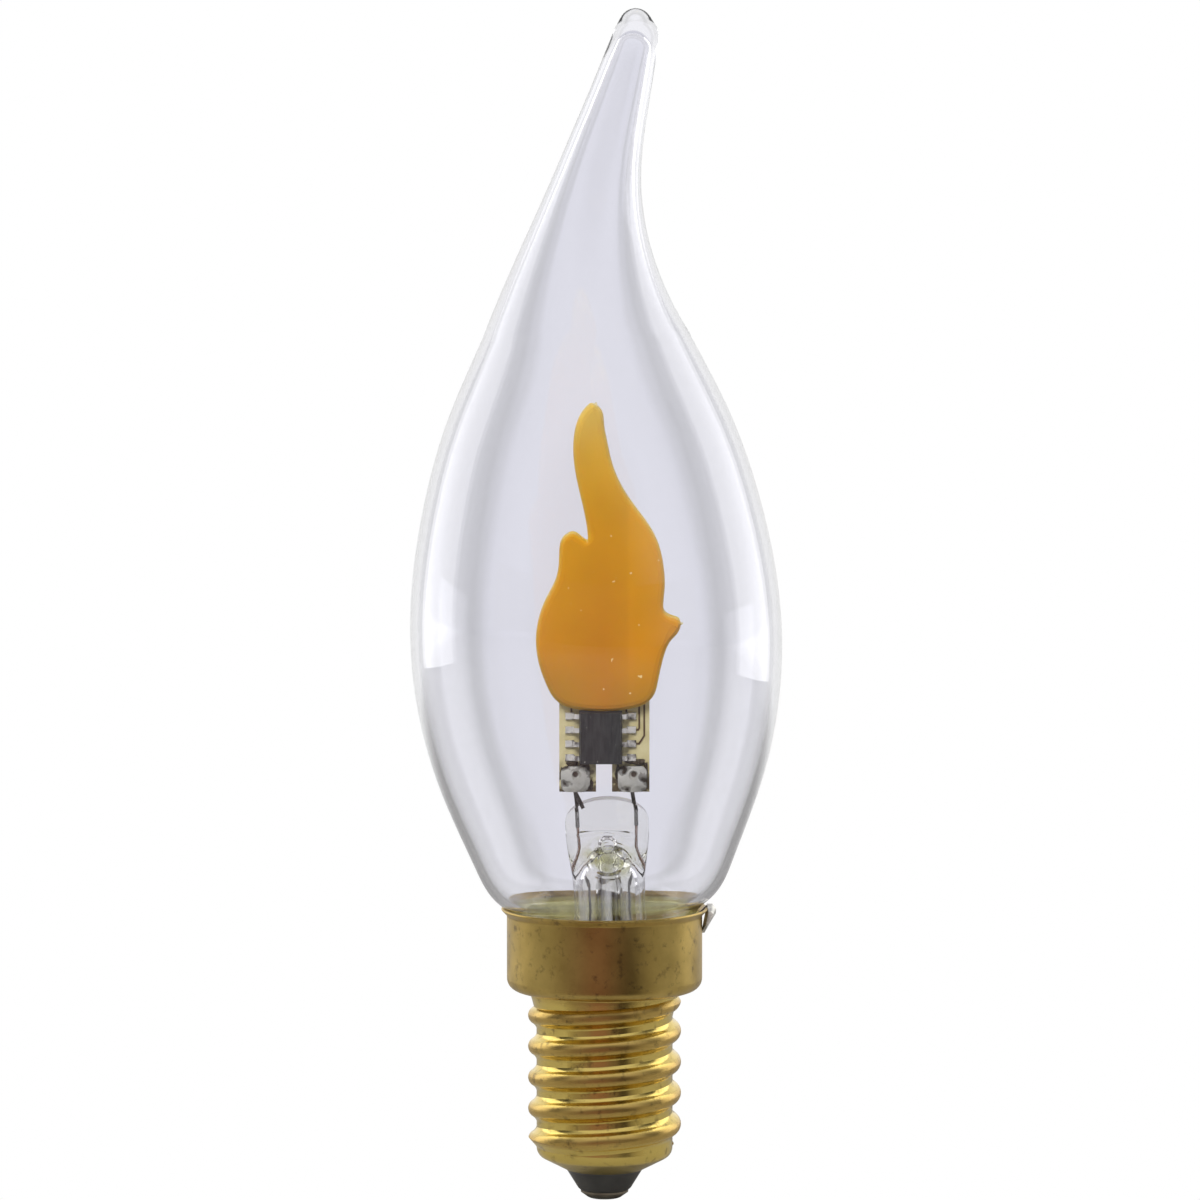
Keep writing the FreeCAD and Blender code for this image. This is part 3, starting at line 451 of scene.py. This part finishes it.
def ring(centre, tilt, radius, rise, segments):
    """Points of a circle across a tilted axis, raised along it."""
    points = []
    for index in range(segments):
        turn = 2 * math.pi * index / segments
        x, y = radius * math.cos(turn), radius * math.sin(turn)
        points.append(centre + np.array([
            x * math.cos(tilt) + rise * math.sin(tilt), y, -x * math.sin(tilt) + rise * math.cos(tilt)]))
    return points


print("the axis ends in mm at:", [round(value, 2) for value in lean(axis_frame(107)[0])])

# %% [markdown]
# The skins end in round caps. The outer cap also carries the bead that is left where the glassblower
# melts the tube off. A small fillet joins the two, as molten glass has no sharp corners.

# %% Round end with the bead
bead_radius = 1.5
bead_rise = 1.15
bead_fillet = 0.3


def ball_reach(to_ball, radius, direction):
    """How far a line runs from its start before it leaves a ball, or 0 where it misses."""
    along = float(np.dot(direction, to_ball))
    inside = along ** 2 - float(np.dot(to_ball, to_ball)) + radius ** 2
    return along + math.sqrt(inside) if inside > 0 else 0.0


def cap_rings(end_height, end_radius, count, segments, bead):
    """Rings of a round end, with the bead standing out of it."""
    centre, tilt = axis_frame(end_height)
    to_bead = np.array([0, 0, bead_rise])
    rings = []
    for step in range(1, count + 1):
        polar = math.pi / 2 * step / (count + 1)
        row = []
        for point in ring(np.zeros(3), tilt, math.cos(polar), math.sin(polar), segments):
            reach = end_radius
            if bead:
                out = ball_reach(to_bead, bead_radius - skin_gap, point)
                near = max(bead_fillet - abs(reach - out), 0) / bead_fillet
                reach = max(reach, out) + near * near * bead_fillet / 4
            row.append(centre + point * reach)
        rings.append(row)
    return rings


print("bead radius in mm:", bead_radius)

# %% [markdown]
# Now the two skins are drawn, the outer one from the neck to the bead and the inner one a wall's
# thickness inside it. They are joined at the foot of the neck, so the net is closed. The glass is
# thicker at the tip, where the tube was melted shut, so the inner skin ends a little lower.

# %% Envelope as fine rings
segments = 160
ring_spacing = 0.5
neck_steps = 4
cap_count = 36
tip_thickness = 0.8


def length_at(place, length, height):
    """How far along the outline a height is reached, found by halving."""
    low, high = 0.0, length
    for halving in range(40):
        middle = (low + high) / 2
        low, high = (middle, high) if place(middle)[1] < height else (low, middle)
    return low


def skin(inset, end_cut, bead):
    """Rings of one skin, from the foot of the neck up to the end of the tip."""
    place, length = outline(inset)
    foot_radius, foot_top = place(0)
    rings = []
    for step in range(neck_steps):
        height = neck_bottom + (foot_top - neck_bottom) * step / neck_steps
        rings.append(ring(np.array([0, 0, height]), 0.0, foot_radius, 0, segments))
    tip = neck_top + sum(rise for rise, radius in stations) - end_cut
    count = round(length / ring_spacing)
    for step in range(count + 1):
        radius, height = place(length * step / count)
        if height >= tip:
            break
        centre, tilt = axis_frame(height)
        rings.append(ring(centre, tilt, radius, 0, segments))
    end_radius = place(length_at(place, length, tip))[0]
    centre, tilt = axis_frame(tip)
    rings.append(ring(centre, tilt, end_radius, 0, segments))
    return rings + cap_rings(tip, end_radius, cap_count, segments, bead)


def net(name, outer, inner):
    """One closed mesh from two skins, joined by a flat ring at their feet."""
    points = []
    faces = []
    starts = []
    for rings in (outer, inner):
        starts.append(len(points))
        for row in rings:
            points += [lean(point) for point in row]
    for start, rings, flip in ((starts[0], outer, False), (starts[1], inner, True)):
        for row in range(len(rings) - 1):
            for index in range(segments):
                after = (index + 1) % segments
                low, high = start + row * segments, start + (row + 1) * segments
                face = (low + index, low + after, high + after, high + index)
                faces.append(face[::-1] if flip else face)
        last = tuple(start + (len(rings) - 1) * segments + index for index in range(segments))
        faces.append(last[::-1] if flip else last)
    for index in range(segments):
        after = (index + 1) % segments
        faces.append((starts[1] + index, starts[1] + after, starts[0] + after, starts[0] + index))
    made_object = grid_mesh(name, points, faces)
    made_object.data.polygons.foreach_set("use_smooth", [True] * len(faces))
    return made_object


outer_rings = skin(skin_gap, 0.0, True)
inner_rings = skin(glass_wall, tip_thickness, False)
envelope = net("envelope_skin", outer_rings, inner_rings)
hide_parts("glass_envelope")
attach(envelope, "root")
print("envelope rings:", len(outer_rings), len(inner_rings), "faces:", len(envelope.data.polygons))

# %% [markdown]
# Clear glass needs three things: full transmission, no roughness and a refractive index of 1.5. Each
# crossing takes a little light, which tints the inside of the bulb a cool grey against the white
# room. The tint is deeper than clear glass has, so it is partly painted shade for the dim studio. A
# band of painted shade where the wall is seen at a slant draws a grey line down both edges. Shadow
# rays pass straight through, so the lamps still reach the flame. The solid tip would mirror the dark
# side of the room by total reflection and turn black, so its index falls to a lower one.

# %% Glass
glass_index = 1.5
tip_index = 1.24


def clear_glass(name, tint, rim_shade=None):
    """Clear glass, which may carry a band of painted shade where it turns away."""
    material, shader, tree = finish(name)
    feed(tree, shader, {
        "Base Color": tint, "Transmission Weight": 1.0, "Roughness": 0.0, "IOR": glass_index,
    })
    if rim_shade:
        facing = add_node(tree, "ShaderNodeLayerWeight").outputs["Facing"]
        feed(tree, shader, {"Base Color": ramp(tree, facing, rim_shade)})
    open_air = add_node(tree, "ShaderNodeBsdfTransparent", {"Color": (0.97, 0.97, 0.98)}).outputs[0]
    path = add_node(tree, "ShaderNodeLightPath")
    surface = mix_shaders(tree, path.outputs["Is Shadow Ray"], shader.outputs[0], open_air)
    feed(tree, tree.nodes["Material Output"], {"Surface": surface})
    return material, shader, tree


# Painted shade: the tint is partly painted shade, and the darker band near the rim is painted shade.
plain_tint = (0.875, 0.875, 0.92)
rim_shade_tint = (0.72, 0.72, 0.74)
envelope_glass, shader, tree = clear_glass("envelope_glass", plain_tint, [
    (0.0, plain_tint), (0.205, plain_tint), (0.245, rim_shade_tint), (0.29, rim_shade_tint), (0.36, (0.86, 0.86, 0.88)),
])
x, y, z = axes(tree, object_place(tree))
feed(tree, shader, {"IOR": mapped(tree, z, 102.5 * MM, 104.5 * MM, glass_index, tip_index)})
envelope.data.materials.append(envelope_glass)
paint(envelope_glass, "glass_envelope")
paint(clear_glass("tube_glass", (0.96, 0.96, 0.945))[0], "exhaust_tube")
print("index of the glass:", glass_index, "at the tip:", tip_index)

# %% [markdown]
# The stem is a glass tube whose top was squeezed flat while it was soft, to seal the wires in. The
# squeeze leaves a fold across it between the wires, and the exhaust tube, melted in below, leaves a
# swirl. Both are slight, so they are relief here. Round the swirl an olive tint is a painted
# reflection of the brass cap, and lower down pale streaks that let less light through are painted
# highlights.

# %% Glass of the stem
stem_tint = (0.96, 0.96, 0.93)
stem_index = 1.36
fold_height = 33.4
fold_bow = 0.04
swirl_middle = (0.4, 31.0)
swirl_spacing = 0.62


def press_fold(tree, x, z):
    """Height of a bowed fold between the wires."""
    bow = math_node(tree, "MULTIPLY", math_node(tree, "MULTIPLY", x, x), fold_bow / MM)
    off_fold = math_node(tree, "SUBTRACT", math_node(tree, "ADD", z, bow), fold_height * MM)
    between_wires = mapped(tree, math_node(tree, "ABSOLUTE", x), 2.1 * MM, 2.8 * MM, 1.0, 0.0)
    crest = mapped(tree, math_node(tree, "ABSOLUTE", off_fold), 0.0, 0.2 * MM, 0.7, 0.0)
    return math_node(tree, "MULTIPLY", crest, between_wires)


def press_swirl(tree, place, away):
    """Height of uneven rings round the middle of the swirl."""
    wobble = math_node(tree, "MULTIPLY", noise(tree, place, 500, 1.0, 0.5), 0.5 * MM)
    full_turn = 2 * math.pi / (swirl_spacing * MM)
    turns = math_node(tree, "MULTIPLY", math_node(tree, "ADD", away, wobble), full_turn)
    fade = mapped(tree, away, 1.3 * MM, 1.7 * MM, 0.3, 0.0)
    return math_node(tree, "MULTIPLY", math_node(tree, "SINE", turns), fade)


stem_glass, shader, tree = clear_glass("stem_glass", stem_tint)
place = object_place(tree)
x, y, z = axes(tree, place)
beside = math_node(tree, "MULTIPLY", math_node(tree, "SUBTRACT", x, swirl_middle[0] * MM), 0.72)
above = math_node(tree, "SUBTRACT", z, swirl_middle[1] * MM)
away = span(tree, beside, above)
marks = math_node(tree, "ADD", press_fold(tree, x, z), press_swirl(tree, place, away))
relief(tree, shader, marks, 1.0, 0.16)
# Painted highlights: pale streaks low on the stem, where less light passes straight through.
streaks = mapped(tree, noise(tree, drawn_out(tree, place, 0.06), 900, 2.0, 0.5), 0.5, 0.72, 0.0, 0.5)
streak_highlight = math_node(tree, "MULTIPLY", streaks, mapped(tree, z, 30.5 * MM, 27.5 * MM))
# Painted reflection: an olive tint round the swirl, for the brass cap mirrored in the glass.
olive = math_node(tree, "MULTIPLY", mapped(tree, away, 2.0 * MM, 1.2 * MM),
                  mapped(tree, noise(tree, place, 700, 1.0, 0.5), 0.42, 0.6))
feed(tree, shader, {
    "Base Color": blend(tree, olive, stem_tint, (0.66, 0.66, 0.42)),
    "Transmission Weight": mapped(tree, streak_highlight, 0.0, 1.0, 1.0, 0.0), "IOR": stem_index,
})
paint(stem_glass, "glass_stem")
print("index of the stem:", stem_index)

# %% [markdown]
# The leads are nickel wire, dulled by heat, up to the welds in the press. The short stretch that
# seals in the glass is copper-clad, which is why it shows red-brown.

# %% Wires
leads = ("inner_lead_left", "inner_lead_right", "centre_lead", "side_lead", "contact_lead")
sealed_wires = ("dumet_wire_left", "dumet_wire_right")
paint(mottled("nickel_wire", (0.13, 0.115, 0.1), 0.35, 2500, 0.36, 1.0), *leads)
paint(mottled("copper_wire", (0.42, 0.17, 0.08), 0.25, 3000, 0.4, 0.8), *sealed_wires)
print("wires:", len(leads) + len(sealed_wires))

# %% [markdown]
# The flame is a pad of amber gel, poured over rows of small light chips. It is a little translucent:
# its thin rounded edges are yellow and its thick middle is a deep orange. Painted shade darkens it
# towards its foot, most of all low in the middle. A few pale specks lie on it, and a faint seam runs
# up its right side.

# %% Gel
gel_foot, gel_tip = 44, 72


def amber_gel(name):
    """Amber gel, paler at its thin edges and towards its tip, with painted shade towards its foot."""
    material, shader, tree = finish(name)
    place = object_place(tree)
    x, y, z = axes(tree, place)
    thick = mapped(tree, math_node(tree, "ABSOLUTE", y), 0.9 * MM, 1.66 * MM)
    # Painted shade: the ramp darkens the gel towards its foot, and the core blend adds more low in the
    # middle.
    middle = ramp(tree, mapped(tree, z, gel_foot * MM, gel_tip * MM), [
        (0.0, (0.46, 0.22, 0.006)), (0.2, (0.7, 0.28, 0.002)), (0.6, (0.76, 0.35, 0.004)),
        (0.85, (0.77, 0.42, 0.018)), (1.0, (0.79, 0.52, 0.05)),
    ])
    inward = mapped(tree, math_node(tree, "ABSOLUTE", x), 0.0, 3.2 * MM, 0.5, 0.0)
    painted_core_shade = math_node(tree, "MULTIPLY", inward, mapped(tree, z, 66 * MM, 46 * MM))
    middle = blend(tree, painted_core_shade, middle, (0.62, 0.2, 0.005))
    tone = blend(tree, thick, (0.82, 0.56, 0.03), middle)
    cloud = mapped(tree, noise(tree, place, 180, 2.0, 0.4), 0.3, 0.7, 0.93, 1.06)
    seam = mapped(tree, x, 1.9 * MM, 2.3 * MM, 1.0, 1.08)
    tone = blend(tree, 1.0, tone, math_node(tree, "MULTIPLY", cloud, seam), "MULTIPLY")
    speck = mapped(tree, noise(tree, place, 2600, 0.0, 0.5), 0.85, 0.87)
    feed(tree, shader, {
        "Base Color": blend(tree, speck, tone, (0.95, 0.7, 0.3)), "Roughness": 0.42,
        "Subsurface Weight": 0.15, "Subsurface Radius": (1.0, 0.4, 0.1), "Subsurface Scale": 0.6 * MM,
    })
    relief(tree, shader, noise(tree, place, 260, 3.0, 0.5), 0.25, 0.12)
    return material


gel_pads = ("phosphor_gel_front", "phosphor_gel_back")
paint(amber_gel("amber_gel"), *gel_pads)
print("gel pads:", len(gel_pads))

# %% [markdown]
# The board is bare cream laminate with brown tracks under a clear lacquer. Soldering has browned it
# low down, round the two terminals. The light chips are hidden in the gel and have a plain pale finish.


# %% Board, tracks and light chips
def board_cream(name):
    """Cream laminate, browned low down by soldering."""
    material, shader, tree = finish(name)
    place = object_place(tree)
    x, y, z = axes(tree, place)
    cloud = noise(tree, place, 700)
    cream = ramp(tree, cloud, [(0.3, (0.64, 0.55, 0.26)), (0.7, (0.8, 0.72, 0.39))])
    heat = mapped(tree, z, 40.2 * MM, 38.2 * MM)
    patch = mapped(tree, noise(tree, place, 900, 5.0, 0.6), 0.44, 0.52)
    burn = math_node(tree, "MULTIPLY", heat, patch)
    feed(tree, shader, {"Base Color": blend(tree, burn, cream, (0.1, 0.07, 0.03)), "Roughness": 0.4})
    relief(tree, shader, cloud, 0.1, 0.04)
    return material


paint(board_cream("board_cream"), "circuit_board")
paint(mottled("track_brown", (0.12, 0.07, 0.03), 0.25, 3000, 0.45), "copper_tracks")
paint(mottled("light_chip", (0.75, 0.78, 0.8), 0.05, 3000, 0.2), "light_chips_front", "light_chips_back")
print("board size in mm:", [round(side / MM, 1) for side in nodes["circuit_board"].dimensions])

# %% [markdown]
# The driver chip and the rectifier are moulded in black plastic. The mould leaves fine scratches on
# it, and dust shows as pale specks. The resistor in the cap has a plain baked coat.


# %% Black chips and resistor
def chip_black(name):
    """Moulded black plastic with fine scratches and a few pale specks."""
    material, shader, tree = finish(name)
    place = object_place(tree)
    scratches = noise(tree, drawn_out(tree, place, 0.12), 6000, 2.0, 0.6)
    tone = ramp(tree, scratches, [(0.35, (0.016, 0.0155, 0.0145)), (0.7, (0.04, 0.039, 0.037))])
    speck = mapped(tree, noise(tree, place, 3600, 0.0, 0.5), 0.8, 0.83)
    feed(tree, shader, {"Base Color": blend(tree, speck, tone, (0.6, 0.58, 0.5)), "Roughness": 0.5})
    relief(tree, shader, scratches, 0.4, 0.04)
    return material


paint(chip_black("chip_black"), "driver_chip", "rectifier")
paint(mottled("resistor_coat", (0.45, 0.33, 0.2), 0.15, 2000, 0.5), "fuse_resistor")
print("driver chip size in mm:", [round(side / MM, 1) for side in nodes["driver_chip"].dimensions])

# %% [markdown]
# Solder is a soft grey metal. It freezes with bright crowns and hollows. Painted shade turns the
# finish dark brown in its hollows and towards its foot, where the noise and the board are near.
# Each of the two terminals has a small dent, where the iron was lifted off, darkened by painted shade.


# %% Solder
def solder_finish(name, colour, foot, crown, dents=None):
    """Pale solder, darkened by painted shade towards its foot, in its hollows and in a pair of dents."""
    material, shader, tree = finish(name)
    place = object_place(tree)
    x, y, z = axes(tree, place)
    raised = mapped(tree, math_node(tree, "ABSOLUTE", y), foot * MM, crown * MM, 0.0, 0.4)
    lumps = noise(tree, place, 900, 2.0, 0.5)
    # Painted shade: dark brown towards the foot and in the hollows of the lumps.
    out_of_shade = mapped(tree, math_node(tree, "ADD", raised, lumps), 0.72, 0.88)
    tone = blend(tree, out_of_shade, (0.035, 0.024, 0.014), colour)
    if dents:
        # Painted shade in the two dents.
        beside = math_node(tree, "SUBTRACT", math_node(tree, "ABSOLUTE", x), dents[0] * MM)
        above = math_node(tree, "SUBTRACT", z, dents[1] * MM)
        dent_shade = mapped(tree, span(tree, beside, above), 0.32 * MM, 0.2 * MM)
        tone = blend(tree, dent_shade, tone, (0.09, 0.06, 0.04))
    rough = mapped(tree, lumps, 0.3, 0.7, 0.2, 0.4)
    feed(tree, shader, {"Base Color": tone, "Metallic": 0.35, "Roughness": rough})
    relief(tree, shader, lumps, 1.0, 0.35)
    return material


terminal_dents = (2.62, 38.65)
paint(solder_finish("pin_solder", (0.8, 0.78, 0.7), 0.4, 0.64), "driver_chip_solder", "rectifier_solder")
paint(solder_finish("pin_metal", (0.8, 0.78, 0.72), 0.42, 0.8), "driver_chip_pins", "rectifier_pins")
paint(solder_finish("terminal_solder", (0.62, 0.61, 0.53), 0.45, 1.05, terminal_dents),
      "terminal_solder_left", "terminal_solder_right")
paint(mottled("centre_solder", (0.3, 0.29, 0.26), 0.3, 1500, 0.45, 0.9, 0.5), "centre_solder")
paint(mottled("side_solder", (0.62, 0.61, 0.55), 0.45, 1300, 0.35, 0.4, 0.9), "side_solder")
print("dents stand at x and z in mm:", terminal_dents)

# %% [markdown]
# The cap is rolled from thin brass. The thread is still bright where the rolls pressed it, with rubbed
# brown crests. The collar was heated when the glass was cemented in, so it is tarnished to an olive
# brown and speckled. Its inside is smeared with cement.

# %% Brass cap
collar_foot = 18.3
collar_start = 19.2
inside_radius = 8.52
outside_radius = 8.62


def cap_brass(name):
    """Brass by place: tarnished collar, bright grooves and rubbed crests."""
    material, shader, tree = finish(name)
    place = object_place(tree)
    x, y, z = axes(tree, place)
    radius = span(tree, x, y)
    cloud = noise(tree, place, 260, 5.0, 0.6)
    collar_share = mapped(tree, z, collar_foot * MM, collar_start * MM)
    crest_share = mapped(tree, radius, 6.55 * MM, 6.85 * MM, 0.0, 0.75)
    rubbed = ramp(tree, cloud, [(0.3, (0.46, 0.28, 0.08)), (0.7, (0.66, 0.44, 0.13))])
    tarnish = ramp(tree, cloud, [(0.3, (0.46, 0.32, 0.09)), (0.7, (0.66, 0.475, 0.145))])
    thread_tone = blend(tree, crest_share, (0.82, 0.62, 0.17), rubbed)
    tone = blend(tree, collar_share, thread_tone, tarnish)
    spots = mapped(tree, noise(tree, place, 900, 6.0, 0.7), 0.55, 0.72, 0.0, 0.75)
    tone = blend(tree, spots, tone, (0.12, 0.075, 0.035))
    smear = math_node(tree, "MULTIPLY", mapped(tree, radius, outside_radius * MM, inside_radius * MM),
                      mapped(tree, z, 19.6 * MM, 20.4 * MM))
    thread_rough = mapped(tree, crest_share, 0.0, 0.75, 0.18, 0.34)
    rough = math_node(tree, "ADD", thread_rough, mapped(tree, collar_share, 0.0, 1.0, 0.0, -0.02))
    wear = mapped(tree, cloud, 0.3, 0.7, -0.05, 0.07)
    feed(tree, shader, {
        "Base Color": blend(tree, smear, tone, (0.66, 0.63, 0.27)),
        "Metallic": mapped(tree, smear, 0.0, 1.0, 1.0, 0.1),
        "Roughness": math_node(tree, "ADD", rough, wear),
    })
    relief(tree, shader, noise(tree, place, 2200, 3.0, 0.6), 0.12, 0.03)
    return material


paint(cap_brass("cap_brass"), "cap_shell")
paint(mottled("contact_brass", (0.3, 0.26, 0.2), 0.25, 900, 0.4, 1.0), "centre_contact")
paint(mottled("black_glass", (0.055, 0.053, 0.048), 0.25, 700, 0.28), "cap_insulator")
paint(mottled("cement_olive", (0.76, 0.72, 0.32), 0.2, 900, 0.8), "basing_cement")
print("pieces with a finish:", len([name for name in nodes if nodes[name].data.materials]))

# %% [markdown]
# Flux boils out of the joints and burns to a dark resin. Small lumps of it sit between the terminals
# and the lowest pins. Each lump is a dome on the board, pushed in and out by a few waves.

# %% Burnt flux
burnt_resin = mottled("burnt_resin", (0.06, 0.042, 0.022), 0.4, 1500, 0.3)


def flux_lump(name, centre, radii, seed):
    """A flattened, uneven lump on the front of the board."""
    rows, columns = 6, 18
    points = []
    for row in range(rows + 1):
        polar = math.pi / 2 * row / rows
        for column in range(columns):
            turn = 2 * math.pi * column / columns
            swell = 1 + 0.2 * math.sin(3 * turn + seed) * math.sin(2 * polar + seed)
            swell += 0.12 * math.sin(5 * turn - 2 * seed) * math.sin(polar) ** 2
            points.append((
                centre[0] + radii[0] * swell * math.sin(polar) * math.cos(turn),
                centre[1] - radii[1] * swell * math.cos(polar),
                centre[2] + radii[2] * swell * math.sin(polar) * math.sin(turn),
            ))
    faces = []
    for row in range(rows):
        for column in range(columns):
            after = (column + 1) % columns
            low, high = row * columns, (row + 1) * columns
            faces.append((low + column, low + after, high + after, high + column))
    lump = grid_mesh(name, points, faces)
    lump.data.polygons.foreach_set("use_smooth", [True] * len(faces))
    lump.data.materials.append(burnt_resin)
    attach(lump, "root")


board_front = -0.4
lumps = [
    ((-2.9, board_front, 39.55), (0.55, 0.3, 0.3)), ((-1.75, board_front, 39.3), (0.5, 0.25, 0.45)),
    ((-1.2, board_front, 37.6), (0.2, 0.12, 0.5)), ((3.1, board_front, 39.65), (0.65, 0.35, 0.3)),
    ((2.2, board_front, 39.75), (0.45, 0.3, 0.2)), ((1.2, board_front, 38.6), (0.25, 0.2, 0.8)),
    ((3.7, board_front, 38.9), (0.2, 0.25, 0.7)), ((-3.85, board_front, 38.6), (0.15, 0.15, 0.6)),
]
for index, (centre, radii) in enumerate(lumps):
    flux_lump("flux_lump_" + str(index + 1), centre, radii, 1.3 * index + 0.4)
print("flux lumps:", len(lumps))
